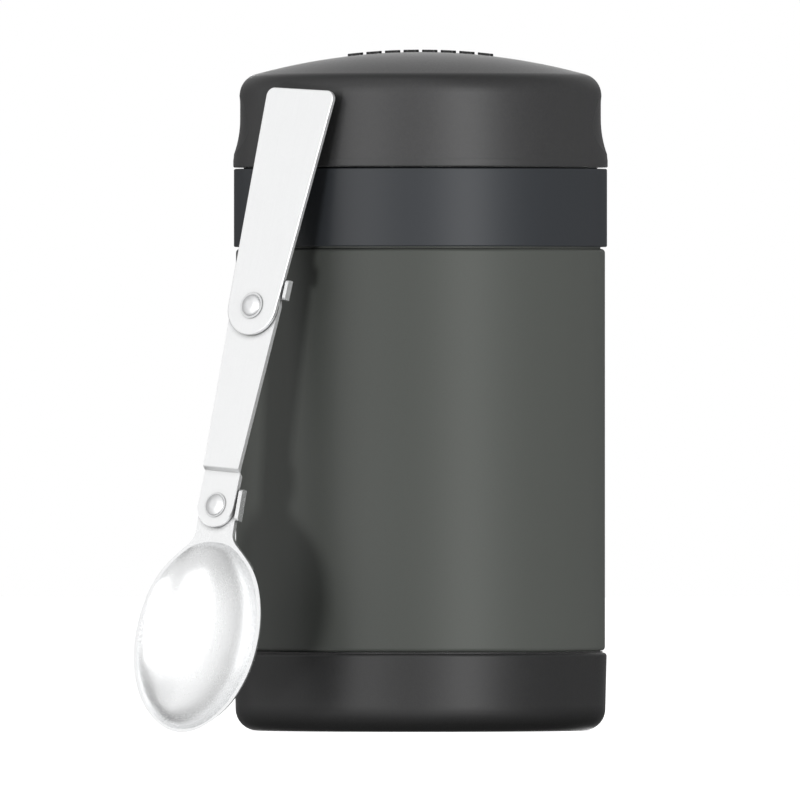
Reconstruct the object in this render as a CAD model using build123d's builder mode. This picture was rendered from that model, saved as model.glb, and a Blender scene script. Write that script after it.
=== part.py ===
from build123d import *
import math
import os

# Insulated food jar with a screw-in stopper, a screw-on cover over it, and a
# folding spoon that leans against it.  Millimetres, +Z up.  The origin is on
# the jar's axis, at the plane that the jar stands on.

os.makedirs("parts", exist_ok=True)

# ---------------------------------------------------------------- heights
base_top_z = 19.65        # top edge of the soft base cup
body_bottom_z = 20.15     # lower edge of the painted body
body_top_z = 121.30       # shoulder of the painted body
band_bottom_z = 121.80    # lower edge of the stopper's outer band
deck_top_z = 141.45       # top of the stopper's deck, upper edge of the band
cover_bottom_z = 141.80   # lower edge of the cover's lip
dome_top_z = 170.90       # top of the cover's dome
rim_z = 137.30            # drinking rim, where shell and vessel are welded

# ---------------------------------------------------------------- radii
body_r = 46.48            # painted body
base_r_top = 46.92        # base cup at its top edge
base_r_low = 46.60        # base cup above its bottom rounding
band_r = 47.00            # stopper's outer band
lip_r = 47.17             # cover's lip
shell_in_base_r = 45.30   # the shell where the base cup covers it
step_r = 45.34            # step of the shell's shoulder, just inside the band
step_z = 122.40           # top of that step
neck_r = 39.60            # outside of the neck
sheet = 0.60              # steel sheet of the shell
vessel_r = 36.80          # inside of the inner vessel
vessel_sheet = 0.50       # steel sheet of the inner vessel
vessel_floor_z = 10.40    # food side of the vessel's bottom

# ---------------------------------------------------------------- threads
lead = 12.0               # rise per turn of both threads
starts = 3                # lugs around each thread
skirt_r = 41.30           # inside of the stopper's skirt
neck_lug_crest_r = 40.90
skirt_lug_crest_r = 40.00
collar_r = 41.40          # outside of the stopper's upper collar
collar_lug_crest_r = 42.90
cover_r = 43.40           # inside of the cover
cover_lug_crest_r = 41.90

# ---------------------------------------------------------------- cover
lip_top_z = 143.60
taper_low = (47.10, 144.00)
shoulder_fillet = 5.50
dome_radius = 157.0
cover_wall = 2.20
scoop_plan_r = 62.30      # plan radius of the two finger scoops
grip_bar_width = 3.88     # raised bars in a row across the top
grip_bar_length = 9.0
grip_bar_pitch = 4.68
grip_bar_count = 8
grip_bar_height = 0.62

# ---------------------------------------------------------------- spoon
spoon_turn = 36.0         # how far the spoon's face is turned to the left
spoon_lean = 14.0         # how far the spoon leans back on the jar
spoon_sheet = 1.20        # steel sheet of the spoon
rivet_pitch = 51.03       # upper rivet to lower rivet
plate_gap = 0.10          # running gap between riveted plates
handle_length = 56.3      # upper rivet to the handle's top edge
handle_slant = 0.45       # the top edge's right corner stands this much higher, the left lower
handle_low_half = 7.45
handle_top_half = 10.55
link_top_half = 7.45
link_low_half = 5.55
rivet_r = 1.50
rivet_head_r = 2.75
washer_r = 3.30
washer_t = 0.25
bowl_length = 58.2        # lower rivet to the tip of the bowl
bowl_twist = 3.1          # the bowl's lock holds it this far round

turn = math.radians(spoon_turn)
leanr = math.radians(spoon_lean)
spoon_n = Vector(
    -math.sin(turn) * math.cos(leanr),
    -math.cos(turn) * math.cos(leanr),
    math.sin(leanr),
)
along = Vector(0.2057, 0.1487, 0.9673)
along = (along - spoon_n * along.dot(spoon_n)).normalized()
across = along.cross(spoon_n)
# upper rivet's axis, at the middle of the link's sheet
upper_rivet_at = Vector(-41.20, -45.00, 106.47)
lower_rivet_at = upper_rivet_at - along * rivet_pitch
spoon_plane = Plane(origin=upper_rivet_at, x_dir=across, z_dir=spoon_n)

# layers of the spoon, measured along its normal from the link's middle
half_sheet = spoon_sheet / 2
handle_back = half_sheet + plate_gap
handle_front = handle_back + spoon_sheet
joggle = spoon_sheet                       # the link's lower end steps back
joggle_at = 42.0                           # distance of that step below the upper rivet
low_front = half_sheet - joggle
low_back = low_front - spoon_sheet
shank_front = low_back - plate_gap
shank_back = shank_front - spoon_sheet


# Turned pieces are drawn on this half plane: it passes between the threads' lugs.
seam_angle = 125.0
seam = math.radians(seam_angle)
turned = Plane(
    origin=(0, 0, 0),
    x_dir=(math.cos(seam), math.sin(seam), 0),
    z_dir=(math.sin(seam), -math.cos(seam), 0),
)
lug_angle = 17.0          # where the first lug of the neck and collar starts
skirt_lug_turn = 24.0     # how much further round the mating lugs start
cover_lug_turn = 40.0


# ================================================================ the jar
# Outer shell: drawn steel, painted where it shows, necked in for the threads
# and stepped in where the base cup covers it.
with BuildPart() as neck_lugs:
    with BuildLine() as neck_path:
        Helix(pitch=lead, height=lead * 84 / 360, radius=neck_r, center=(0, 0, 127.2))
    with BuildSketch(Plane.XZ):
        with BuildLine():
            Polyline(
                (neck_r - 0.35, 127.2 - 0.85),
                (neck_r, 127.2 - 0.80),
                (neck_lug_crest_r, 127.2 - 0.45),
                (neck_lug_crest_r, 127.2 + 0.45),
                (neck_r, 127.2 + 0.80),
                (neck_r - 0.35, 127.2 + 0.85),
                close=True,
            )
        make_face()
    sweep(path=neck_path.line, is_frenet=True)

ring_low, ring_high = 124.0, 135.0   # threaded length of the neck
with BuildPart() as outer_shell:
    with BuildSketch(Plane.XY.offset(ring_low)):
        Circle(neck_r)
        Circle(neck_r - sheet, mode=Mode.SUBTRACT)
    extrude(amount=ring_high - ring_low)
    with PolarLocations(0, starts, start_angle=lug_angle):
        add(neck_lugs.part)
    with BuildSketch(turned):
        with BuildLine():
            FilletPolyline(
                (shell_in_base_r, 4.40),
                (shell_in_base_r, body_bottom_z),
                (body_r, body_bottom_z),
                (body_r, body_top_z),
                (step_r, body_top_z),
                (step_r, step_z),
                (neck_r, step_z),
                (neck_r, ring_low),
                (neck_r - sheet, ring_low),
                (neck_r - sheet, step_z - sheet),
                (step_r - sheet, step_z - sheet),
                (step_r - sheet, body_top_z - sheet),
                (body_r - sheet, body_top_z - sheet),
                (body_r - sheet, body_bottom_z + sheet),
                (shell_in_base_r - sheet, body_bottom_z + sheet),
                (shell_in_base_r - sheet, 4.40),
                radius=[
                    0, 0.15, 0.95, 1.00, 0.10, 0.35, 0.80, 0,
                    0, 0.25, 0.15, 0.15, 0.45, 0.35, 0.45, 0,
                ],
                close=True,
            )
        make_face()
    revolve(axis=Axis.Z)
    with BuildSketch(turned):
        with BuildLine():
            FilletPolyline(
                (neck_r, ring_high),
                (neck_r, rim_z),
                (neck_r - sheet, rim_z),
                (neck_r - sheet, ring_high),
                radius=[0, 0.25, 0, 0],
                close=True,
            )
        make_face()
    revolve(axis=Axis.Z)
outer_shell.part.label = "outer_shell"
export_step(outer_shell.part, "parts/outer_shell.step")

# Inner vessel: drawn steel cup with a rounded bottom; its lip is rolled out to
# meet the shell at the drinking rim.
with BuildPart() as inner_vessel:
    vr = vessel_r
    vo = vessel_r + vessel_sheet
    vf = vessel_floor_z
    lip_out = neck_r - sheet
    with BuildSketch(turned):
        with BuildLine():
            FilletPolyline(
                (0, vf),
                (vr, vf),
                (vr, rim_z + 0.30),
                (lip_out + 0.30, rim_z + 0.30),
                (lip_out + 0.30, rim_z),
                (lip_out, rim_z),
                (lip_out, rim_z - 0.50),
                (vo, rim_z - 0.50),
                (vo, vf - vessel_sheet),
                (0, vf - vessel_sheet),
                radius=[0, 3.5, 0.45, 0.25, 0, 0, 0, 0.30, 4.0, 0],
                close=True,
            )
        make_face()
    revolve(axis=Axis.Z)
inner_vessel.part.label = "inner_vessel"
export_step(inner_vessel.part, "parts/inner_vessel.step")

# Copper radiation foil round the vessel, inside the vacuum.
with BuildPart() as radiation_foil:
    with BuildSketch(Plane.XY.offset(22)):
        Circle(vo + 0.30)
        Circle(vo + 0.12, mode=Mode.SUBTRACT)
    extrude(amount=96)
radiation_foil.part.label = "radiation_foil"
export_step(radiation_foil.part, "parts/radiation_foil.step")

# Getter pill, held under the vessel's bottom in the vacuum.
with BuildPart() as getter:
    with BuildSketch(Plane.XY.offset(vf - vessel_sheet - 1.6)):
        with Locations((14, 0)):
            Circle(3.6)
    extrude(amount=1.6)
    chamfer(getter.edges().group_by(Axis.Z)[0], 0.4)
getter.part.label = "getter"
export_step(getter.part, "parts/getter.step")

# Bottom plate that closes the vacuum: dished, with a flange welded into the
# shell and a small well round the evacuation hole.
plate_r = shell_in_base_r - sheet
with BuildPart() as vacuum_base_plate:
    with BuildSketch(turned):
        with BuildLine():
            FilletPolyline(
                (0.9, 7.00),
                (4.2, 7.00),
                (5.2, 6.00),
                (36.0, 5.80),
                (40.0, 4.40),
                (plate_r, 4.40),
                (plate_r, 5.00),
                (40.4, 5.00),
                (36.3, 6.40),
                (5.5, 6.60),
                (4.5, 7.60),
                (0.9, 7.60),
                radius=[0, 0.4, 0.5, 3.0, 2.0, 0, 0, 1.4, 3.6, 0.8, 0.8, 0],
                close=True,
            )
        make_face()
    revolve(axis=Axis.Z)
vacuum_base_plate.part.label = "vacuum_base_plate"
export_step(vacuum_base_plate.part, "parts/vacuum_base_plate.step")

# Glass bead melted over the evacuation hole, in the well.
with BuildPart() as vacuum_seal_bead:
    with BuildSketch(turned):
        with BuildLine():
            FilletPolyline(
                (0, 7.00),
                (0, 6.15),
                (1.70, 6.25),
                (2.40, 7.00),
                radius=[0, 0, 0.7, 0.1],
                close=True,
            )
        make_face()
    revolve(axis=Axis.Z)
vacuum_seal_bead.part.label = "vacuum_seal_bead"
export_step(vacuum_seal_bead.part, "parts/vacuum_seal_bead.step")

# Base cup: soft-touch moulding pushed on and glued round the shell's foot.
with BuildPart() as base_cup:
    with BuildSketch(turned):
        with BuildLine():
            FilletPolyline(
                (0, 1.30),
                (38.6, 1.30),
                (38.6, 0.0),
                (base_r_low - 0.06, 0.0),
                (base_r_low, 5.5),
                (base_r_top, base_top_z),
                (45.90, base_top_z),
                (45.86, base_top_z + 0.36),
                (shell_in_base_r, base_top_z + 0.36),
                (shell_in_base_r, 3.60),
                (0, 3.60),
                radius=[0, 0, 0.3, 5.5, 0, 0.90, 0.05, 0.10, 0.10, 0.5, 0],
                close=True,
            )
        make_face()
    revolve(axis=Axis.Z)
    # ring inside the cup that the shell's foot stands on
    with BuildSketch(Plane.XY.offset(3.60)):
        Circle(43.6)
        Circle(41.8, mode=Mode.SUBTRACT)
    extrude(amount=0.80)
base_cup.part.label = "base_cup"
export_step(base_cup.part, "parts/base_cup.step")

# Rubber pad set into the underside, so that the jar doesn't slide.
with BuildPart() as bottom_pad:
    with BuildSketch(Plane.XY):
        Circle(38.3)
    extrude(amount=1.30)
    fillet(bottom_pad.edges().group_by(Axis.Z)[0], 0.25)
    with BuildSketch(Plane.XY):
        Circle(31.0)
        Circle(29.6, mode=Mode.SUBTRACT)
        Circle(20.0)
        Circle(18.6, mode=Mode.SUBTRACT)
    extrude(amount=0.45, mode=Mode.SUBTRACT)
bottom_pad.part.label = "bottom_pad"
export_step(bottom_pad.part, "parts/bottom_pad.step")

# ================================================================ the stopper
# Lugs inside the skirt: same helix as the neck's, half a pitch lower.
pitch = lead / starts
skirt_lug_z = 127.2 - pitch / 2 + lead * skirt_lug_turn / 360
with BuildPart() as skirt_lugs:
    with BuildLine() as skirt_path:
        Helix(pitch=lead, height=lead * 78 / 360, radius=skirt_r, center=(0, 0, skirt_lug_z))
    with BuildSketch(Plane.XZ):
        with BuildLine():
            Polyline(
                (skirt_r + 0.35, skirt_lug_z - 0.85),
                (skirt_r, skirt_lug_z - 0.80),
                (skirt_lug_crest_r, skirt_lug_z - 0.45),
                (skirt_lug_crest_r, skirt_lug_z + 0.45),
                (skirt_r, skirt_lug_z + 0.80),
                (skirt_r + 0.35, skirt_lug_z + 0.85),
                close=True,
            )
        make_face()
    sweep(path=skirt_path.line, is_frenet=True)

# Lugs outside the upper collar, for the cover.
collar_lug_z = 144.35
with BuildPart() as collar_lugs:
    with BuildLine() as collar_path:
        Helix(pitch=lead, height=lead * 76 / 360, radius=collar_r, center=(0, 0, collar_lug_z))
    with BuildSketch(Plane.XZ):
        with BuildLine():
            Polyline(
                (collar_r - 0.35, collar_lug_z - 0.85),
                (collar_r, collar_lug_z - 0.80),
                (collar_lug_crest_r, collar_lug_z - 0.42),
                (collar_lug_crest_r, collar_lug_z + 0.42),
                (collar_r, collar_lug_z + 0.80),
                (collar_r - 0.35, collar_lug_z + 0.85),
                close=True,
            )
        make_face()
    sweep(path=collar_path.line, is_frenet=True)

# Stopper body: one moulding with the visible band, the threaded skirt inside
# it, the deck, and the collar that carries the cover.
with BuildPart() as stopper_body:
    with BuildSketch(turned):
        with BuildLine():
            FilletPolyline(
                (0, 139.20),
                (skirt_r, 139.20),
                (skirt_r, 122.90),
                (skirt_r + 1.8, 122.90),
                (skirt_r + 1.8, 139.20),
                (band_r - 1.9, 139.20),
                (band_r - 1.9, 124.60),
                (band_r - 1.1, 123.60),
                (band_r - 1.1, band_bottom_z),
                (band_r, band_bottom_z),
                (band_r, deck_top_z),
                (collar_r, deck_top_z),
                (collar_r, 149.60),
                (collar_r - 2.6, 149.60),
                (collar_r - 2.6, deck_top_z),
                (0, deck_top_z),
                radius=[0, 0.4, 0.3, 0.3, 0.4, 0.4, 0.4, 0.4, 0.15, 0.35, 0.40, 0.4, 0.5, 0.5, 0.8, 0],
                close=True,
            )
        make_face()
    revolve(axis=Axis.Z)
    # webs between skirt and band
    with BuildSketch(Plane.XY.offset(127.0)):
        with PolarLocations(skirt_r + 2.8, 18):
            Rectangle(3.0, 1.1)
    extrude(amount=12.4)
    # short ring that carries the stopper's lower cup
    with BuildSketch(Plane.XY.offset(135.2)):
        Circle(34.6)
        Circle(32.8, mode=Mode.SUBTRACT)
    extrude(amount=4.2)
    # two low cradles on the deck that keep the folded spoon from sliding
    with BuildSketch(Plane.XY.offset(deck_top_z - 0.2)):
        with Locations((-20, 0), (20, 0)):
            SlotOverall(26, 2.4, rotation=90)
    extrude(amount=3.2)
    with BuildSketch(Plane.YZ.offset(-24)):
        with BuildLine():
            Polyline(
                (-8.2, deck_top_z + 4), (-6.4, deck_top_z + 1.2),
                (6.4, deck_top_z + 1.2), (8.2, deck_top_z + 4), close=True,
            )
        make_face()
    extrude(amount=48, mode=Mode.SUBTRACT)
    with PolarLocations(0, starts, start_angle=lug_angle + skirt_lug_turn):
        add(skirt_lugs.part)
    with PolarLocations(0, starts, start_angle=lug_angle):
        add(collar_lugs.part)
stopper_body.part.label = "stopper_body"
export_step(stopper_body.part, "parts/stopper_body.step")

# Lower cup of the stopper: it reaches into the mouth and holds the insulation.
with BuildPart() as stopper_base:
    with BuildSketch(turned):
        with BuildLine():
            FilletPolyline(
                (0, 124.60),
                (36.20, 124.60),
                (36.20, 139.20),
                (34.60, 139.20),
                (34.60, 126.20),
                (0, 126.20),
                radius=[0, 2.6, 0.2, 0, 1.4, 0],
                close=True,
            )
        make_face()
    revolve(axis=Axis.Z)
stopper_base.part.label = "stopper_base"
export_step(stopper_base.part, "parts/stopper_base.step")

# Foam disc inside the stopper.
with BuildPart() as stopper_foam:
    with BuildSketch(Plane.XY.offset(126.20)):
        Circle(32.7)
    extrude(amount=12.9)
    chamfer(stopper_foam.edges().group_by(Axis.Z)[0], 1.2)
stopper_foam.part.label = "stopper_foam"
export_step(stopper_foam.part, "parts/stopper_foam.step")

# Silicone ring that the stopper presses on the drinking rim.
with BuildPart() as stopper_gasket:
    with BuildSketch(turned):
        with BuildLine():
            FilletPolyline(
                (36.90, rim_z + 0.40),
                (40.60, rim_z + 0.40),
                (40.60, 139.10),
                (36.40, 139.10),
                (36.40, rim_z + 0.90),
                radius=[0.15, 0.45, 0.30, 0.30, 0.15],
                close=True,
            )
        make_face()
    revolve(axis=Axis.Z)
stopper_gasket.part.label = "stopper_gasket"
export_step(stopper_gasket.part, "parts/stopper_gasket.step")

# ================================================================ the cover
# Lugs inside the cover's wall: same helix as the collar's, half a pitch lower.
cover_lug_z = collar_lug_z - pitch / 2 + lead * cover_lug_turn / 360
with BuildPart() as cover_lugs:
    with BuildLine() as cover_path:
        Helix(pitch=lead, height=lead * 62 / 360, radius=cover_r, center=(0, 0, cover_lug_z))
    with BuildSketch(Plane.XZ):
        with BuildLine():
            Polyline(
                (cover_r + 0.35, cover_lug_z - 0.85),
                (cover_r, cover_lug_z - 0.80),
                (cover_lug_crest_r, cover_lug_z - 0.42),
                (cover_lug_crest_r, cover_lug_z + 0.42),
                (cover_r, cover_lug_z + 0.80),
                (cover_r + 0.35, cover_lug_z + 0.85),
                close=True,
            )
        make_face()
    sweep(path=cover_path.line, is_frenet=True)


def dome_z(x, drop=0.0):
    """Height of the dome's spherical surface at radius x."""
    r = dome_radius - drop
    return dome_top_z - dome_radius + math.sqrt(r * r - x * x)


def bar_z(x):
    """Height of the raised bars' tops at radius x."""
    r = dome_radius + grip_bar_height
    return dome_top_z - dome_radius + math.sqrt(r * r - x * x)


corner_r = 45.18

# A region outside each finger scoop: the scoop is hollowed a little from the
# tapered wall, on a larger plan radius, and flares out to the lip.
scoop_x = 45.44           # depth of the scoop's middle from the axis
scoop_low_z = 154.0       # the flare to the lip starts here
scoop_high_z = 157.6      # the scoop runs out into the shoulder from here
flare_r = 26.0
runout_r = 15.0
flare_end = 141.2
runout_end = 162.4


def arc_x(radius, dz):
    """How far a vertical tangent arc has moved out after a height dz."""
    return radius - math.sqrt(radius * radius - dz * dz)


scoop_axis = Axis((scoop_x - scoop_plan_r, 0, 0), (0, 0, 1))
with BuildPart() as scoop_cutter:
    with BuildSketch(Plane.XZ):
        with BuildLine():
            dz = scoop_low_z - flare_end
            low = (scoop_x + arc_x(flare_r, dz), flare_end)
            ThreePointArc(
                low, (scoop_x + arc_x(flare_r, dz / 2), scoop_low_z - dz / 2), (scoop_x, scoop_low_z)
            )
            Line((scoop_x, scoop_low_z), (scoop_x, scoop_high_z))
            dz = runout_end - scoop_high_z
            high = (scoop_x + arc_x(runout_r, dz), runout_end)
            ThreePointArc(
                (scoop_x, scoop_high_z), (scoop_x + arc_x(runout_r, dz / 2), scoop_high_z + dz / 2), high
            )
            Polyline(high, (54.0, runout_end), (54.0, flare_end), low)
        make_face()
    revolve(axis=scoop_axis, revolution_arc=64)
scoop_right = scoop_cutter.part.rotate(scoop_axis, -32)
scoop_left = scoop_right.rotate(Axis.Z, 180)

# Raised bars on the dome: a row of plain round-cornered bars across the top.
with BuildPart() as grip_bars:
    with BuildSketch(Plane.XY.offset(166.5)):
        for i in range(grip_bar_count):
            with Locations(((i - (grip_bar_count - 1) / 2) * grip_bar_pitch, 0)):
                RectangleRounded(grip_bar_width, grip_bar_length, 1.2)
    extrude(amount=8)
    with BuildSketch(turned):
        with BuildLine():
            Line((0, 166.0), (0, bar_z(0)))
            ThreePointArc((0, bar_z(0)), (15, bar_z(15)), (30, bar_z(30)))
            Polyline((30, bar_z(30)), (30, 166.0), (0, 166.0))
        make_face()
    revolve(axis=Axis.Z, mode=Mode.INTERSECT)
    fillet(grip_bars.edges().filter_by(lambda e: e.center().Z > 168.0 and e.bounding_box().size.Z < 2.0), 0.12)

thread_low, thread_high = 142.50, 149.20   # threaded length of the cover's wall
dome_corner = (corner_r, dome_z(corner_r))
inner_corner = (cover_r, dome_z(cover_r, cover_wall))


def taper_x(z):
    """Radius of the tapered wall at height z."""
    (x0, z0), (x1, z1) = taper_low, dome_corner
    return x0 + (x1 - x0) * (z - z0) / (z1 - z0)


with BuildPart() as lid_cover:
    with BuildSketch(turned):
        with BuildLine():
            FilletPolyline(
                (cover_r, thread_low),
                (lip_r, thread_low),
                (lip_r, lip_top_z),
                taper_low,
                (taper_x(thread_high), thread_high),
                (cover_r, thread_high),
                radius=[0, 0, 0.6, 0.6, 0, 0],
                close=True,
            )
        make_face()
    revolve(axis=Axis.Z)
    with PolarLocations(0, starts, start_angle=lug_angle + cover_lug_turn):
        add(cover_lugs.part)
    with BuildSketch(turned):
        with BuildLine():
            FilletPolyline(
                (44.70, thread_low),
                (44.70, cover_bottom_z),
                (lip_r, cover_bottom_z),
                (lip_r, thread_low),
                radius=[0, 0.15, 0.35, 0],
                close=True,
            )
        make_face()
    revolve(axis=Axis.Z)
    with BuildSketch(turned) as cover_profile:
        with BuildLine():
            ThreePointArc((0, dome_top_z), (corner_r / 2, dome_z(corner_r / 2)), dome_corner)
            Polyline(
                dome_corner,
                (taper_x(thread_high), thread_high),
                (cover_r, thread_high),
                inner_corner,
            )
            ThreePointArc(
                inner_corner,
                (cover_r / 2, dome_z(cover_r / 2, cover_wall)),
                (0, dome_z(0, cover_wall)),
            )
            Line((0, dome_z(0, cover_wall)), (0, dome_top_z))
        make_face()
        fillet(cover_profile.vertices().sort_by_distance(dome_corner)[0], shoulder_fillet)
        fillet(cover_profile.vertices().sort_by_distance(inner_corner)[0], 4.0)
    revolve(axis=Axis.Z)
    add(scoop_right, mode=Mode.SUBTRACT)
    add(scoop_left, mode=Mode.SUBTRACT)
    add(grip_bars.part)
lid_cover.part.label = "lid_cover"
export_step(lid_cover.part, "parts/lid_cover.step")

# Flat seal between the deck and the cover's lip.
with BuildPart() as cover_seal:
    with BuildSketch(turned):
        with BuildLine():
            FilletPolyline(
                (collar_lug_crest_r + 0.25, deck_top_z + 0.06),
                (44.55, deck_top_z + 0.06),
                (44.55, cover_bottom_z + 0.62),
                (collar_lug_crest_r + 0.25, cover_bottom_z + 0.62),
                radius=0.2,
                close=True,
            )
        make_face()
    revolve(axis=Axis.Z)
cover_seal.part.label = "cover_seal"
export_step(cover_seal.part, "parts/cover_seal.step")

# ================================================================ the spoon
def spoon_plane_at(origin, degrees):
    """Plane through a rivet with the spoon's normal, turned about that normal."""
    a = math.radians(degrees)
    return Plane(origin=origin, x_dir=across * math.cos(a) + along * math.sin(a), z_dir=spoon_n)


# Handle: a tapered plate with a round riveted end, turned a degree to its stop.
handle_plane = spoon_plane_at(upper_rivet_at, -1.0)
with BuildPart() as spoon_handle:
    with BuildSketch(handle_plane.offset(handle_back)) as handle_outline:
        with BuildLine():
            Polyline(
                (-handle_low_half, 0),
                (-handle_top_half, handle_length - handle_slant),
                (handle_top_half, handle_length + handle_slant),
                (handle_low_half, 0),
            )
            ThreePointArc((handle_low_half, 0), (0, -handle_low_half), (-handle_low_half, 0))
        make_face()
        fillet(handle_outline.vertices().sort_by(Axis.Y)[-2:], 2.2)
        Circle(rivet_r + 0.05, mode=Mode.SUBTRACT)
    extrude(amount=spoon_sheet)
    fillet(
        spoon_handle.faces().sort_by(Axis(tuple(upper_rivet_at), tuple(spoon_n)))[-1].outer_wire().edges(),
        0.22,
    )
    fillet(
        spoon_handle.faces().sort_by(Axis(tuple(upper_rivet_at), tuple(spoon_n)))[0].outer_wire().edges(),
        0.18,
    )
spoon_handle.part.label = "spoon_handle"
export_step(spoon_handle.part, "parts/spoon_handle.step")

# Link: the middle strip, stepped back at its lower end, with an ear bent
# forward that stops the handle.
side_plane = Plane(origin=upper_rivet_at, x_dir=along, z_dir=across)
# in side_plane, x runs up along the spoon and y is the spoon's normal
with BuildPart() as spoon_link:
    with BuildSketch(spoon_plane.offset(low_back)):
        with BuildLine():
            Polyline(
                (-link_top_half, 0),
                (-link_low_half, -joggle_at + 1.0),
                (-link_low_half, -rivet_pitch),
            )
            ThreePointArc(
                (-link_low_half, -rivet_pitch),
                (0, -rivet_pitch - link_low_half),
                (link_low_half, -rivet_pitch),
            )
            Polyline(
                (link_low_half, -rivet_pitch),
                (link_low_half, -joggle_at + 1.0),
                (link_top_half, 0),
            )
            ThreePointArc((link_top_half, 0), (0, link_top_half), (-link_top_half, 0))
        make_face()
        # web that carries the ear
        with Locations((7.2, 5.0)):
            Rectangle(3.4, 5.0)
    extrude(amount=half_sheet - low_back)
    with BuildSketch(side_plane):
        with BuildLine():
            FilletPolyline(
                (9.0, half_sheet),
                (-joggle_at + 0.4, half_sheet),
                (-joggle_at - 0.4, low_front),
                (-58.0, low_front),
                (-58.0, low_back),
                (-joggle_at - 1.05, low_back),
                (-joggle_at - 0.25, -half_sheet),
                (9.0, -half_sheet),
                radius=[0, 0.6, 0.3, 0, 0, 0.9, 0.3, 0],
                close=True,
            )
        make_face()
    extrude(amount=14, both=True, mode=Mode.INTERSECT)
    # the ear itself, bent forward
    with BuildSketch(side_plane.offset(8.3)):
        with BuildLine():
            FilletPolyline(
                (2.5, -half_sheet),
                (2.5, handle_front - 0.65),
                (7.5, handle_front - 0.65),
                (7.5, -half_sheet),
                radius=[0, 0.7, 0.7, 0],
                close=True,
            )
        make_face()
    extrude(amount=0.95)
    with BuildSketch(spoon_plane.offset(low_back - 1)):
        Circle(rivet_r)
        with Locations((0, -rivet_pitch)):
            Circle(rivet_r)
    extrude(amount=6, mode=Mode.SUBTRACT)
spoon_link.part.label = "spoon_link"
export_step(spoon_link.part, "parts/spoon_link.step")

# Bowl: shank plate, flared neck and dished bowl, one pressing, with an ear
# bent forward past the link that stops it.
bowl_plane = spoon_plane_at(lower_rivet_at + spoon_n * shank_front, bowl_twist)
bowl_side_plane = Plane(origin=bowl_plane.origin, x_dir=bowl_plane.y_dir, z_dir=bowl_plane.x_dir)
shank_half = 5.75

# half widths of the rim at distances from the rivet
rim_outline = [
    (12.5, 10.40),
    (16.0, 13.80),
    (20.0, 16.30),
    (25.0, 18.10),
    (30.0, 19.00),
    (33.5, 19.15),
    (38.0, 18.80),
    (43.0, 17.65),
    (47.0, 15.95),
    (50.5, 13.80),
    (53.5, 11.00),
    (56.0, 7.65),
]
bowl_top = 9.0            # where the dish begins below the rivet
rise = 4.0                # the full section's centre stands this far above the rim
bowl_wall = 1.10


def egg(inset, squash, top, tip):
    """Half outline of the round body that the squashed bowl is turned from."""
    pts = [(0, -top)]
    for y, half in rim_outline:
        full = math.hypot(half, rise / squash)
        pts.append((full - inset, -y))
    pts.append((0, -tip))
    return pts


squash_out = 0.700
squash_in = 0.690
with BuildPart() as bowl_outside:
    with BuildSketch(Plane.XY):
        with BuildLine():
            pts = egg(0.0, squash_out, 7.3, bowl_length + 1.20)
            Spline(*pts, tangents=((1, 0.0), (-1, 0.0)), tangent_scalars=(1.6, 1.2))
            Line(pts[-1], pts[0])
        make_face()
    revolve(axis=Axis.Y)
with BuildPart() as bowl_inside:
    with BuildSketch(Plane.XY):
        with BuildLine():
            pts = egg(bowl_wall, squash_out, 8.5, bowl_length + 0.15)
            Spline(*pts, tangents=((1, 0.0), (-1, 0.0)), tangent_scalars=(1.6, 1.2))
            Line(pts[-1], pts[0])
        make_face()
    revolve(axis=Axis.Y)
outside = scale(bowl_outside.part, by=(1, 1, squash_out), mode=Mode.PRIVATE)
inside = scale(bowl_inside.part, by=(1, 1, squash_in), mode=Mode.PRIVATE)
outside = bowl_plane.location * (Pos(0, 0, rise) * outside)
inside = bowl_plane.location * (Pos(0, 0, rise) * inside)

with BuildPart() as spoon_bowl:
    # flat stock of the neck, flared into the rim
    with BuildSketch(bowl_plane.offset(-spoon_sheet)):
        with BuildLine():
            Polyline((0, 0), (shank_half, 0), (shank_half, -6.6))
            Spline(
                (shank_half, -6.4), (8.0, -10.4), (10.85, -13.0), (13.50, -15.8),
                tangents=((0, -1), (0.62, -0.78)),
            )
            Polyline((13.50, -15.8), (0, -22), (0, 0))
        make_face()
        mirror(about=Plane.YZ)
        with BuildLine():
            Polyline((-shank_half, 0), (shank_half, 0))
            ThreePointArc((shank_half, 0), (0, shank_half), (-shank_half, 0))
        make_face()
        with Locations((6.075, 0.4)):
            Rectangle(2.15, 8.0)
    extrude(amount=spoon_sheet)
    add(outside)
    with BuildSketch(bowl_plane):
        with Locations((0, -36)):
            Rectangle(60, 60)
    extrude(amount=30, mode=Mode.SUBTRACT)
    add(inside, mode=Mode.SUBTRACT)
    # the ear, bent forward past the link's edge
    with BuildSketch(bowl_side_plane.offset(6.05)):
        with BuildLine():
            FilletPolyline(
                (-3.6, -spoon_sheet),
                (-3.6, plate_gap + spoon_sheet - 0.55),
                (4.4, plate_gap + spoon_sheet - 0.55),
                (4.4, -spoon_sheet),
                radius=[0, 0.8, 0.8, 0],
                close=True,
            )
        make_face()
    extrude(amount=1.1)
    with BuildSketch(bowl_plane.offset(-3)):
        Circle(rivet_r + 0.05)
    extrude(amount=6, mode=Mode.SUBTRACT)
spoon_bowl.part.label = "spoon_bowl"
export_step(spoon_bowl.part, "parts/spoon_bowl.step")


def rivet_profile(tail, tail_top, head_bottom, head_top):
    """Half outline of a rivet with a domed head and a flatter domed tail."""
    return [
        (0, tail),
        (1.3, tail + 0.05),
        (2.15, tail + 0.35),
        (2.6, tail_top),
        (rivet_r, tail_top),
        (rivet_r, head_bottom),
        (rivet_head_r, head_bottom),
        (2.35, head_top - 0.42),
        (1.45, head_top - 0.10),
        (0, head_top),
    ]


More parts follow.
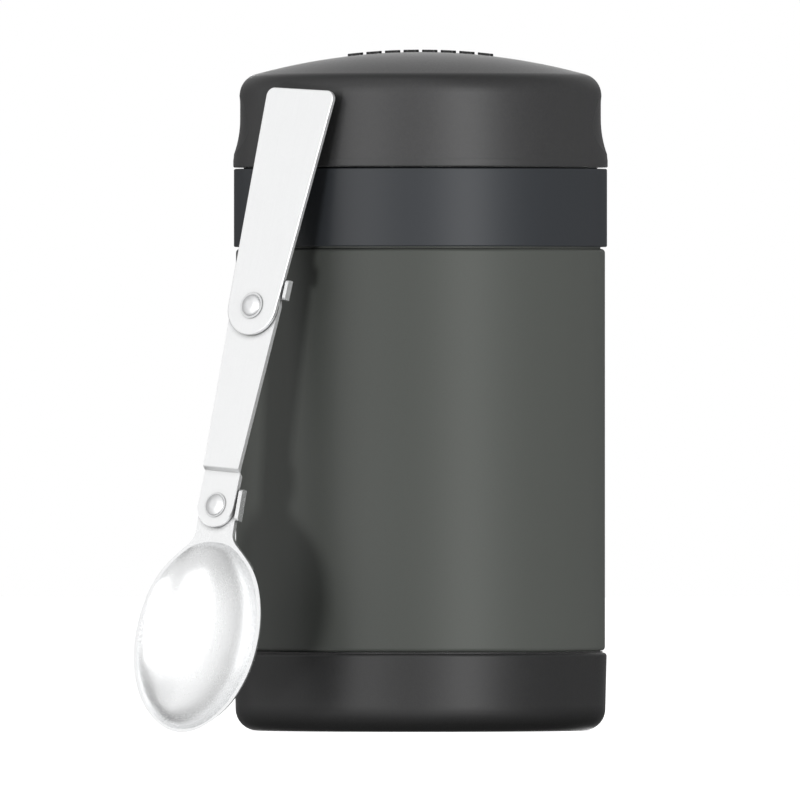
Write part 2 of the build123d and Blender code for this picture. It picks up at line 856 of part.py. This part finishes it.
# Upper rivet: through handle and link.
with BuildPart() as upper_rivet:
    prof = rivet_profile(
        -half_sheet - 1.0,
        -half_sheet,
        handle_front + 0.05 + washer_t,
        handle_front + 0.05 + washer_t + 1.0,
    )
    with BuildSketch(Plane(origin=upper_rivet_at, x_dir=across, z_dir=-along)):
        with BuildLine():
            ThreePointArc(prof[0], prof[1], prof[2])
            Polyline(prof[2], prof[3], prof[4], prof[5], prof[6])
            Spline(prof[6], prof[7], prof[8], prof[9], tangents=((-0.2, 1), (-1, 0)))
            Line(prof[9], prof[0])
        make_face()
    revolve(axis=Axis(tuple(upper_rivet_at), tuple(spoon_n)))
upper_rivet.part.label = "upper_rivet"
export_step(upper_rivet.part, "parts/upper_rivet.step")

# Washer under the upper rivet's head.
with BuildPart() as upper_washer:
    with BuildSketch(spoon_plane.offset(handle_front + 0.05)):
        Circle(washer_r)
        Circle(rivet_r, mode=Mode.SUBTRACT)
    extrude(amount=washer_t)
upper_washer.part.label = "upper_washer"
export_step(upper_washer.part, "parts/upper_washer.step")

# Lower rivet: through link and shank.
with BuildPart() as lower_rivet:
    prof = rivet_profile(
        shank_back - 0.05 - 0.85,
        shank_back - 0.05,
        low_front + washer_t,
        low_front + washer_t + 0.85,
    )
    with BuildSketch(Plane(origin=lower_rivet_at, x_dir=across, z_dir=-along)):
        with BuildLine():
            ThreePointArc(prof[0], prof[1], prof[2])
            Polyline(prof[2], prof[3], prof[4], prof[5], prof[6])
            Spline(prof[6], prof[7], prof[8], prof[9], tangents=((-0.2, 1), (-1, 0)))
            Line(prof[9], prof[0])
        make_face()
    revolve(axis=Axis(tuple(lower_rivet_at), tuple(spoon_n)))
lower_rivet.part.label = "lower_rivet"
export_step(lower_rivet.part, "parts/lower_rivet.step")

# Washer under the lower rivet's head.
with BuildPart() as lower_washer:
    with BuildSketch(Plane(origin=lower_rivet_at, x_dir=across, z_dir=spoon_n).offset(low_front)):
        Circle(washer_r - 0.2)
        Circle(rivet_r, mode=Mode.SUBTRACT)
    extrude(amount=washer_t)
lower_washer.part.label = "lower_washer"
export_step(lower_washer.part, "parts/lower_washer.step")
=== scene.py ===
"""Insulated food jar with a folding spoon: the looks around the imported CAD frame."""

import math

import bpy
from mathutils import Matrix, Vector

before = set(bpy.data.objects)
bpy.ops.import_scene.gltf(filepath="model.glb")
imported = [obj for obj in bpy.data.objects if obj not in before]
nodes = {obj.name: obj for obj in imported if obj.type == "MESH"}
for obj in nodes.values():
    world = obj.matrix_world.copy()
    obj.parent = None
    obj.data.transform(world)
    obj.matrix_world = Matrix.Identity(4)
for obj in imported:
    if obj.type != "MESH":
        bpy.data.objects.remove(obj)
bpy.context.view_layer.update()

# ---------------------------------------------------------------- spoon frame
turn, lean = math.radians(36.0), math.radians(14.0)
SPOON_N = Vector((-math.sin(turn) * math.cos(lean), -math.cos(turn) * math.cos(lean), math.sin(lean)))
SPOON_V = Vector((0.2057, 0.1487, 0.9673))
SPOON_V = (SPOON_V - SPOON_N * SPOON_V.dot(SPOON_N)).normalized()
SPOON_U = SPOON_V.cross(SPOON_N)


# ---------------------------------------------------------------- node helpers
class Graph:
    """A material's node tree with short calls for the nodes used here."""

    def __init__(self, name):
        self.mat = bpy.data.materials.new(name)
        self.mat.use_nodes = True
        self.nt = self.mat.node_tree
        self.nt.nodes.clear()
        self.out = self.nt.nodes.new("ShaderNodeOutputMaterial")
        self.bsdf = self.nt.nodes.new("ShaderNodeBsdfPrincipled")
        self.nt.links.new(self.bsdf.outputs[0], self.out.inputs[0])
        self.coord = self.nt.nodes.new("ShaderNodeTexCoord").outputs["Object"]

    def set(self, **values):
        for key, value in values.items():
            self.bsdf.inputs[key.replace("_", " ")].default_value = value
        return self

    def link(self, a, b):
        self.nt.links.new(a, b)

    def feed(self, node, index, value):
        if isinstance(value, bpy.types.NodeSocket):
            self.link(value, node.inputs[index])
        elif value is not None:
            node.inputs[index].default_value = value

    def math(self, op, a, b=None, c=None, clamp=False):
        n = self.nt.nodes.new("ShaderNodeMath")
        n.operation = op
        n.use_clamp = clamp
        for i, v in enumerate((a, b, c)):
            self.feed(n, i, v)
        return n.outputs[0]

    def dot(self, direction, offset=(0, 0, 0)):
        v = self.nt.nodes.new("ShaderNodeVectorMath")
        v.operation = "SUBTRACT"
        self.link(self.coord, v.inputs[0])
        v.inputs[1].default_value = tuple(offset)
        d = self.nt.nodes.new("ShaderNodeVectorMath")
        d.operation = "DOT_PRODUCT"
        self.link(v.outputs[0], d.inputs[0])
        d.inputs[1].default_value = tuple(direction)
        return d.outputs["Value"]

    def combine(self, x, y, z):
        n = self.nt.nodes.new("ShaderNodeCombineXYZ")
        for i, v in enumerate((x, y, z)):
            self.feed(n, i, v)
        return n.outputs[0]

    def split(self, vec=None):
        n = self.nt.nodes.new("ShaderNodeSeparateXYZ")
        self.link(vec if vec is not None else self.coord, n.inputs[0])
        return n.outputs

    def scaled(self, sx, sy, sz, vec=None):
        n = self.nt.nodes.new("ShaderNodeVectorMath")
        n.operation = "MULTIPLY"
        self.link(vec if vec is not None else self.coord, n.inputs[0])
        n.inputs[1].default_value = (sx, sy, sz)
        return n.outputs[0]

    def noise(self, scale, detail=2.0, rough=0.5, vec=None, distortion=0.0):
        n = self.nt.nodes.new("ShaderNodeTexNoise")
        self.link(vec if vec is not None else self.coord, n.inputs["Vector"])
        n.inputs["Scale"].default_value = scale
        n.inputs["Detail"].default_value = detail
        n.inputs["Roughness"].default_value = rough
        n.inputs["Distortion"].default_value = distortion
        return n.outputs["Fac"]

    def cells(self, scale, vec=None, feature="F1", output="Distance"):
        n = self.nt.nodes.new("ShaderNodeTexVoronoi")
        n.feature = feature
        self.link(vec if vec is not None else self.coord, n.inputs["Vector"])
        n.inputs["Scale"].default_value = scale
        return n.outputs[output]

    def ramp(self, fac, stops, interpolation="LINEAR"):
        n = self.nt.nodes.new("ShaderNodeValToRGB")
        self.link(fac, n.inputs[0])
        cr = n.color_ramp
        cr.interpolation = interpolation
        while len(cr.elements) > 1:
            cr.elements.remove(cr.elements[-1])
        for i, (pos, col) in enumerate(stops):
            e = cr.elements[0] if i == 0 else cr.elements.new(pos)
            e.position = pos
            e.color = (*col, 1) if len(col) == 3 else col
        return n.outputs[0]

    def remap(self, value, lo, hi, out_lo, out_hi):
        n = self.nt.nodes.new("ShaderNodeMapRange")
        n.clamp = True
        for i, v in enumerate((value, lo, hi, out_lo, out_hi)):
            self.feed(n, i, v)
        return n.outputs[0]

    def mix(self, fac, a, b):
        n = self.nt.nodes.new("ShaderNodeMix")
        n.data_type = "RGBA"
        self.feed(n, 0, fac)
        for index, v in ((6, a), (7, b)):
            if isinstance(v, bpy.types.NodeSocket):
                self.link(v, n.inputs[index])
            else:
                n.inputs[index].default_value = (*v, 1)
        return n.outputs[2]

    def bump(self, height, strength, distance, normal=None):
        n = self.nt.nodes.new("ShaderNodeBump")
        n.inputs["Strength"].default_value = strength
        n.inputs["Distance"].default_value = distance
        self.link(height, n.inputs["Height"])
        if normal is not None:
            self.link(normal, n.inputs["Normal"])
        return n.outputs[0]

    def color(self, socket):
        self.link(socket, self.bsdf.inputs["Base Color"])

    def roughness(self, socket):
        self.link(socket, self.bsdf.inputs["Roughness"])

    def normal(self, socket):
        self.link(socket, self.bsdf.inputs["Normal"])


def tint(col, k):
    return tuple(c * k for c in col)


# ---------------------------------------------------------------- materials
SHEEN = 0.35


def soft_touch(name, col, rough=0.55, spec=0.28, raised=None, dull_foot_painted_shade=None):
    """Rubbery soft-touch moulding: near black, with a fine leathery grain.

    raised = (centre height, radius): what stands proud of that sphere is smooth black.
    The last argument gives the low and high heights of the bottom rounding: there the surface is rougher, and its
    colour is darkened as painted shade for the dark underside."""
    g = Graph(name)
    grain = g.noise(2600, 3, 0.62)
    coarse = g.noise(900, 2, 0.5)
    cloud = g.noise(26, 3, 0.5)
    speck = g.math("MULTIPLY_ADD", grain, 0.7, g.math("MULTIPLY", coarse, 0.3))
    base = g.ramp(speck, [(0.30, tint(col, 0.80)), (0.50, col), (0.72, tint(col, 1.28))])
    colour = g.mix(g.remap(cloud, 0.3, 0.7, 0.0, 0.10), base, tint(col, 0.8))
    roughness = g.remap(grain, 0.25, 0.75, rough - 0.06, rough + 0.08)
    height = speck
    if raised:
        x, y, z = g.split()[0:3]
        dz = g.math("SUBTRACT", z, raised[0])
        r2 = g.math("ADD", g.math("MULTIPLY", x, x), g.math("MULTIPLY", y, y))
        reach = g.math("SQRT", g.math("ADD", r2, g.math("MULTIPLY", dz, dz)))
        proud = g.remap(reach, raised[1], raised[1] + 0.00008, 0.0, 1.0)
        colour = g.mix(proud, colour, (0.004, 0.004, 0.004))
        roughness = g.math("MULTIPLY_ADD", proud, -0.12, roughness)
        height = g.math("MULTIPLY", speck, g.math("SUBTRACT", 1.0, proud))
    # painted shade: the bottom rounding's colour is darkened to stand for its dark underside; the extra roughness is a
    # real dull surface
    if dull_foot_painted_shade:
        z = g.split()[2]
        low = g.remap(z, dull_foot_painted_shade[0], dull_foot_painted_shade[1], 1.0, 0.0)
        colour = g.mix(low, colour, tint(col, 0.06))
        roughness = g.math("MULTIPLY_ADD", low, 0.35, roughness)
    g.color(colour)
    g.roughness(roughness)
    g.normal(g.bump(height, 0.22, 0.00010))
    g.set(IOR=1.45, Specular_IOR_Level=spec, Sheen_Weight=SHEEN, Sheen_Roughness=0.18)
    return g.mat


def painted_body():
    """Satin powder coat on the steel body; the threaded neck under the lid is bare turned steel."""
    g = Graph("body_paint")
    col = (0.0560, 0.0596, 0.0548)
    fine = g.noise(4200, 2, 0.5)
    orange = g.noise(420, 2, 0.5)
    cloud = g.noise(14, 2, 0.5)
    x, y, z = g.split()[0:3]
    bare = g.remap(z, 0.12320, 0.12335, 0.0, 1.0)
    turned = g.noise(1.0, 3, 0.6, g.combine(g.math("MULTIPLY", z, 3200), g.math("ARCTAN2", y, x), 0.0))
    paint = g.ramp(fine, [(0.30, tint(col, 0.94)), (0.70, tint(col, 1.06))])
    paint = g.mix(g.remap(cloud, 0.3, 0.7, 0.0, 0.25), paint, tint(col, 1.05))
    steel = g.ramp(turned, [(0.3, (0.60, 0.60, 0.605)), (0.7, (0.70, 0.70, 0.705))])
    g.color(g.mix(bare, paint, steel))
    g.roughness(g.math("MULTIPLY_ADD", bare, -0.10, g.remap(fine, 0.3, 0.7, 0.38, 0.44)))
    g.link(g.math("MULTIPLY", bare, 0.88), g.bsdf.inputs["Metallic"])
    g.normal(g.bump(fine, 0.06, 0.00005, g.bump(orange, 0.05, 0.00012)))
    g.set(IOR=1.45, Specular_IOR_Level=0.28)
    return g.mat


def satin_plastic(name, col, rough, spec=0.5):
    """Moulded plastic with a satin tool finish."""
    g = Graph(name)
    fine = g.noise(3600, 2, 0.5)
    flow = g.noise(60, 3, 0.5, g.scaled(1, 1, 0.35))
    base = g.ramp(fine, [(0.30, tint(col, 0.95)), (0.70, tint(col, 1.05))])
    g.color(g.mix(g.remap(flow, 0.35, 0.65, 0.0, 0.12), base, tint(col, 1.12)))
    g.roughness(g.remap(fine, 0.3, 0.7, rough - 0.02, rough + 0.04))
    g.normal(g.bump(fine, 0.05, 0.00005))
    g.set(IOR=1.46, Specular_IOR_Level=spec)
    return g.mat


def rubber(name, col, rough=0.6, grain=1800):
    g = Graph(name)
    fine = g.noise(grain, 3, 0.55)
    g.color(g.ramp(fine, [(0.3, tint(col, 0.88)), (0.7, tint(col, 1.12))]))
    g.roughness(g.remap(fine, 0.3, 0.7, rough - 0.05, rough + 0.06))
    g.normal(g.bump(fine, 0.12, 0.00010))
    g.set(IOR=1.5, Specular_IOR_Level=0.35)
    return g.mat


def spoon_steel(name, rough, along_scale=90.0, across_scale=5200.0, strength=0.05, col=(0.90, 0.905, 0.91), metal=0.86):
    """Pressed stainless sheet, tumbled to a satin with faint lines along the spoon; an ambient-occlusion node paints
    shade into its crevices, darkening the colour there.
    """
    g = Graph(name)
    s, t, w = g.dot(SPOON_V), g.dot(SPOON_U), g.dot(SPOON_N)
    lines = g.noise(1.0, 3, 0.6, g.combine(
        g.math("MULTIPLY", s, along_scale), g.math("MULTIPLY", t, across_scale), g.math("MULTIPLY", w, across_scale)))
    tumble = g.noise(1500, 3, 0.6)
    cloud = g.noise(120, 2, 0.5)
    height = g.math("MULTIPLY_ADD", lines, 0.6, g.math("MULTIPLY", tumble, 0.4))
    # painted shade: an ambient-occlusion node darkens the colour where plates, rivets and washers meet
    painted_shade_ao = g.nt.nodes.new("ShaderNodeAmbientOcclusion")
    painted_shade_ao.samples = 8
    painted_shade_ao.inputs["Distance"].default_value = 0.0016
    crevice_painted_shade = g.remap(painted_shade_ao.outputs["AO"], 0.35, 0.95, 0.0, 1.0)
    g.color(g.mix(crevice_painted_shade, tint(col, 0.30), g.ramp(height, [(0.32, tint(col, 0.97)), (0.60, col)])))
    mixed = g.math("MULTIPLY_ADD", height, 0.7, g.math("MULTIPLY", cloud, 0.3))
    g.roughness(g.remap(mixed, 0.3, 0.7, rough - 0.04, rough + 0.06))
    g.normal(g.bump(height, strength, 0.00004))
    g.set(Metallic=metal, IOR=2.5)
    return g.mat


def turned_steel(name, rough, col=(0.80, 0.80, 0.80), scale=3200.0, strength=0.02):
    """Spun or drawn steel with fine lines that run round the axis."""
    g = Graph(name)
    x, y, z = g.split()[0:3]
    r = g.math("SQRT", g.math("ADD", g.math("MULTIPLY", x, x), g.math("MULTIPLY", y, y)))
    angle = g.math("ARCTAN2", y, x)
    lines = g.noise(1.0, 3, 0.6, g.combine(
        g.math("MULTIPLY", r, scale), g.math("MULTIPLY", z, scale), g.math("MULTIPLY", angle, 1.6)))
    cloud = g.noise(70, 2, 0.5)
    g.color(g.ramp(lines, [(0.3, tint(col, 0.93)), (0.7, col)]))
    g.roughness(g.remap(g.math("MULTIPLY_ADD", lines, 0.6, g.math("MULTIPLY", cloud, 0.4)), 0.3, 0.7, rough - 0.06, rough + 0.08))
    g.normal(g.bump(lines, strength, 0.00004))
    g.set(Metallic=0.82, IOR=2.5)
    return g.mat


def copper_foil():
    g = Graph("copper_foil")
    col = (0.83, 0.46, 0.32)
    crinkle = g.cells(260, feature="DISTANCE_TO_EDGE")
    fold = g.noise(180, 4, 0.6, distortion=0.6)
    g.color(g.ramp(fold, [(0.3, tint(col, 0.85)), (0.7, col)]))
    g.roughness(g.remap(fold, 0.3, 0.7, 0.20, 0.36))
    g.normal(g.bump(g.math("MULTIPLY_ADD", crinkle, 0.5, fold), 0.35, 0.0003))
    g.set(Metallic=1.0, IOR=2.0)
    return g.mat


def foam():
    g = Graph("foam")
    col = (0.86, 0.84, 0.76)
    cells = g.cells(1400)
    soft = g.noise(500, 3, 0.6)
    g.color(g.ramp(g.math("MULTIPLY_ADD", cells, 0.6, g.math("MULTIPLY", soft, 0.5)), [(0.15, tint(col, 0.70)), (0.5, col)]))
    g.normal(g.bump(cells, 0.6, 0.0003))
    g.set(Roughness=0.95, IOR=1.4, Specular_IOR_Level=0.2)
    return g.mat


def glass_bead():
    g = Graph("bead")
    ripple = g.noise(700, 2, 0.5)
    g.color(g.ramp(ripple, [(0.3, (0.30, 0.34, 0.31)), (0.7, (0.42, 0.46, 0.43))]))
    g.roughness(g.remap(ripple, 0.3, 0.7, 0.04, 0.12))
    g.normal(g.bump(ripple, 0.05, 0.0001))
    g.set(IOR=1.52)
    return g.mat


def getter_metal():
    g = Graph("getter_metal")
    grain = g.noise(3000, 4, 0.7)
    g.color(g.ramp(grain, [(0.3, (0.16, 0.16, 0.165)), (0.7, (0.30, 0.30, 0.31))]))
    g.roughness(g.remap(grain, 0.3, 0.7, 0.55, 0.75))
    g.normal(g.bump(grain, 0.3, 0.0001))
    g.set(Metallic=1.0, IOR=2.0)
    return g.mat


steel_plate = spoon_steel("spoon_steel", 0.32, strength=0.02, col=(0.865, 0.87, 0.873), metal=0.78)
steel_bowl = spoon_steel("bowl_steel", 0.25, strength=0.012, metal=0.90)
steel_rivet = spoon_steel("rivet_steel", 0.46, along_scale=1500, across_scale=1500, strength=0.02, col=(0.74, 0.745, 0.75), metal=0.9)
finishes = {
    "outer_shell": painted_body(),
    "inner_vessel": turned_steel("steel", 0.30, (0.86, 0.86, 0.86)),
    "vacuum_base_plate": turned_steel("raw_steel", 0.36, (0.70, 0.70, 0.70)),
    "vacuum_seal_bead": glass_bead(),
    "getter": getter_metal(),
    "radiation_foil": copper_foil(),
    "base_cup": soft_touch("soft_base", (0.014, 0.014, 0.0143), 0.40, 0.44, dull_foot_painted_shade=(0.0020, 0.0066)),
    "bottom_pad": rubber("pad_rubber", (0.030, 0.030, 0.031)),
    "stopper_body": satin_plastic("band_plastic", (0.021, 0.023, 0.026), 0.39, 0.38),
    "stopper_base": satin_plastic("plug_plastic", (0.060, 0.062, 0.066), 0.42),
    "stopper_foam": foam(),
    "stopper_gasket": rubber("silicone", (0.42, 0.42, 0.41), 0.45, 900),
    "lid_cover": soft_touch("soft_lid", (0.024, 0.024, 0.0245), 0.40, 0.54, raised=(0.0139, 0.15706)),
    "cover_seal": rubber("seal_rubber", (0.02, 0.02, 0.02), 0.5),
    "spoon_handle": steel_plate,
    "spoon_link": steel_plate,
    "spoon_bowl": steel_bowl,
    "upper_rivet": steel_rivet,
    "lower_rivet": steel_rivet,
    "upper_washer": steel_rivet,
    "lower_washer": steel_rivet,
}
for name, material in finishes.items():
    obj = nodes[name]
    obj.data.materials.clear()
    obj.data.materials.append(material)
    for poly in obj.data.polygons:
        poly.material_index = 0

# ---------------------------------------------------------------- stage
# Brightness of the surroundings against azimuth (0 in front, positive to the right) and elevation.
CARDS_ROUND = [
    (-180, 0.08), (-142, 0.08), (-126, 0.46), (-100, 0.64), (-86, 0.90), (-64, 1.06), (-44, 1.10),
    (-22, 1.25), (18, 1.25), (40, 0.60), (62, 0.38), (108, 0.32), (128, 0.20), (150, 0.08), (180, 0.14),
]
CARDS_LEFT_UP = [(-90, 0.50), (-55, 0.66), (-30, 0.68), (-20, 0.70), (10, 1.0), (45, 1.0), (56, 0.95), (90, 0.92)]
CARDS_FRONT_UP = [(-90, 0.0), (-70, 0.0), (-52, 0.64), (-20, 0.70), (10, 1.0), (44, 1.0), (58, 0.70), (90, 0.70)]
LEFT_SHARE = [(-180, 1.0), (-40, 1.0), (-25, 0.0), (180, 0.0)]
STRIPS_ROUND = [(-180, 0.0), (-56, 0.0), (-48, 1.8), (-26, 1.8), (-18, 0.0), (10, 0.0), (22, 3.2), (35, 4.4), (43, 0.0), (180, 0.0)]
STRIPS_UP = [(-90, 0.0), (-32, 0.0), (-22, 1.0), (22, 1.0), (34, 0.0), (90, 0.0)]
BACK_ROUND = [(-180, 0.52), (-130, 0.0), (130, 0.0), (180, 0.52)]
BACK_UP = [(-90, 0.0), (6, 0.0), (16, 1.0), (50, 1.0), (70, 0.0), (90, 0.0)]
SOFT_ROUND = [(-180, 0.20), (-90, 0.44), (-24, 0.02), (24, 0.02), (90, 0.56), (180, 0.18)]
SOFT_UP = [(-90, 0.10), (-20, 0.70), (10, 1.0), (60, 1.4), (90, 1.5)]
KEY, FILL, SIDE, BACK = 46.0, 24.0, 8.0, 3.0


def stage_mesh(name, verts, faces, material):
    mesh = bpy.data.meshes.new(name)
    mesh.from_pydata(verts, [], faces)
    obj = bpy.data.objects.new(name, mesh)
    bpy.context.scene.collection.objects.link(obj)
    mesh.materials.append(material)
    return obj


g = Graph("stage_white")
g.color(g.ramp(g.noise(40, 2, 0.5), [(0.3, (0.78, 0.78, 0.78)), (0.7, (0.80, 0.80, 0.80))]))
g.set(Roughness=0.9, Specular_IOR_Level=0.1, Emission_Color=(1, 1, 1, 1), Emission_Strength=0.86)
floor = stage_mesh("floor", [(-6, -6, 0), (6, -6, 0), (6, 6, 0), (-6, 6, 0)], [(0, 1, 2, 3)], g.mat)
# The floor is lit from below its own edge by the low key light, so it casts no shadow itself,
# and what the jar sees under the horizon is the studio's own soft grey.
floor.visible_shadow = False
floor.visible_diffuse = False
floor.visible_glossy = False

world = bpy.data.worlds.new("studio")
bpy.context.scene.world = world
world.use_nodes = True
wn = world.node_tree
wn.nodes.clear()


def world_node(kind, **inputs):
    n = wn.nodes.new(kind)
    for key, value in inputs.items():
        n.inputs[int(key[1:])].default_value = value
    return n


def world_math(op, a, b=None, c=None):
    n = wn.nodes.new("ShaderNodeMath")
    n.operation = op
    for i, v in enumerate((a, b, c)):
        if isinstance(v, bpy.types.NodeSocket):
            wn.links.new(v, n.inputs[i])
        elif v is not None:
            n.inputs[i].default_value = v
    return n.outputs[0]


def world_ramp(degrees, low, high, stops):
    """Brightness read off a table of (angle, brightness)."""
    n = wn.nodes.new("ShaderNodeValToRGB")
    wn.links.new(world_math("DIVIDE", world_math("SUBTRACT", degrees, low), high - low), n.inputs[0])
    ramp = n.color_ramp
    ramp.interpolation = "LINEAR"
    ramp.elements.remove(ramp.elements[-1])
    top = max(v for _, v in stops)
    for i, (angle, value) in enumerate(stops):
        e = ramp.elements[0] if i == 0 else ramp.elements.new((angle - low) / (high - low))
        e.position = (angle - low) / (high - low)
        e.color = (value / top, value / top, value / top, 1)
    return world_math("MULTIPLY", n.outputs[0], top)


# Azimuth 0 is in front of the jar and positive to the right, as for the lights below.
heading = wn.nodes.new("ShaderNodeTexCoord").outputs["Generated"]
axes = wn.nodes.new("ShaderNodeSeparateXYZ")
wn.links.new(heading, axes.inputs[0])
azimuth = world_math("DEGREES", world_math("ARCTAN2", axes.outputs[0], world_math("MULTIPLY", axes.outputs[1], -1.0)))
elevation = world_math("DEGREES", world_math("ARCSINE", axes.outputs[2]))
# what glossy surfaces reflect: white cards in front, two brighter strips, dark flags behind
left_up = world_ramp(elevation, -90.0, 90.0, CARDS_LEFT_UP)
front_up = world_ramp(elevation, -90.0, 90.0, CARDS_FRONT_UP)
share = world_ramp(azimuth, -180.0, 180.0, LEFT_SHARE)
cards_up = world_math("MULTIPLY_ADD", share, world_math("SUBTRACT", left_up, front_up), front_up)
mirrored = world_math("MULTIPLY", world_ramp(azimuth, -180.0, 180.0, CARDS_ROUND), cards_up)
for round_table, up_table in ((STRIPS_ROUND, STRIPS_UP), (BACK_ROUND, BACK_UP)):
    card = world_math("MULTIPLY", world_ramp(azimuth, -180.0, 180.0, round_table), world_ramp(elevation, -90.0, 90.0, up_table))
    mirrored = world_math("ADD", mirrored, card)
# soft light from all round
ambient = world_math("MULTIPLY", world_ramp(azimuth, -180.0, 180.0, SOFT_ROUND), world_ramp(elevation, -90.0, 90.0, SOFT_UP))
path = wn.nodes.new("ShaderNodeLightPath").outputs
level = world_math("MULTIPLY_ADD", path["Is Glossy Ray"], world_math("SUBTRACT", mirrored, ambient), ambient)
level = world_math("MULTIPLY_ADD", path["Is Camera Ray"], world_math("SUBTRACT", 1.0, level), level)
bg = wn.nodes.new("ShaderNodeBackground")
bg.inputs[0].default_value = (1, 1, 1, 1)
wn.links.new(level, bg.inputs[1])
wo = wn.nodes.new("ShaderNodeOutputWorld")
wn.links.new(bg.outputs[0], wo.inputs[0])
world.cycles.sampling_method = "NONE"


# ---------------------------------------------------------------- lights
def softbox(name, azimuth, elevation, distance, width, height, power, centre=(0, 0, 0.085)):
    """Area light aimed at the jar. Azimuth 0 is in front, positive to the right."""
    a, e = math.radians(azimuth), math.radians(elevation)
    direction = Vector((math.sin(a) * math.cos(e), -math.cos(a) * math.cos(e), math.sin(e)))
    light = bpy.data.lights.new(name, "AREA")
    light.shape = "RECTANGLE"
    light.size, light.size_y = width, height
    light.energy = power
    obj = bpy.data.objects.new(name, light)
    bpy.context.scene.collection.objects.link(obj)
    obj.location = Vector(centre) + direction * distance
    obj.rotation_euler = direction.to_track_quat("Z", "Y").to_euler()
    obj.visible_glossy = False      # reflections show the cards round the studio instead
    return obj


softbox("key_left", -32, -14, 3.0, 0.42, 0.42, KEY)
softbox("fill_right", 48, 3, 1.4, 0.60, 1.00, FILL)
softbox("side_left", -74, 6, 1.5, 0.90, 1.10, SIDE)
softbox("rim_back", 180, 50, 1.3, 0.9, 0.6, BACK)

# ---------------------------------------------------------------- camera
FRAME_W = 0.20152          # width of the view at the jar's axis
LENS = 1600.0
cam = bpy.data.cameras.new("camera")
cam.sensor_width = 36.0
cam.lens = LENS
cam.clip_start, cam.clip_end = 0.1, 60.0
camera = bpy.data.objects.new("camera", cam)
bpy.context.scene.collection.objects.link(camera)
camera.location = (-0.005164, -FRAME_W * LENS / 36.0, 0.08325)
camera.rotation_euler = (math.radians(90), 0, 0)
bpy.context.scene.camera = camera
bpy.context.scene.view_settings.view_transform = "Standard"
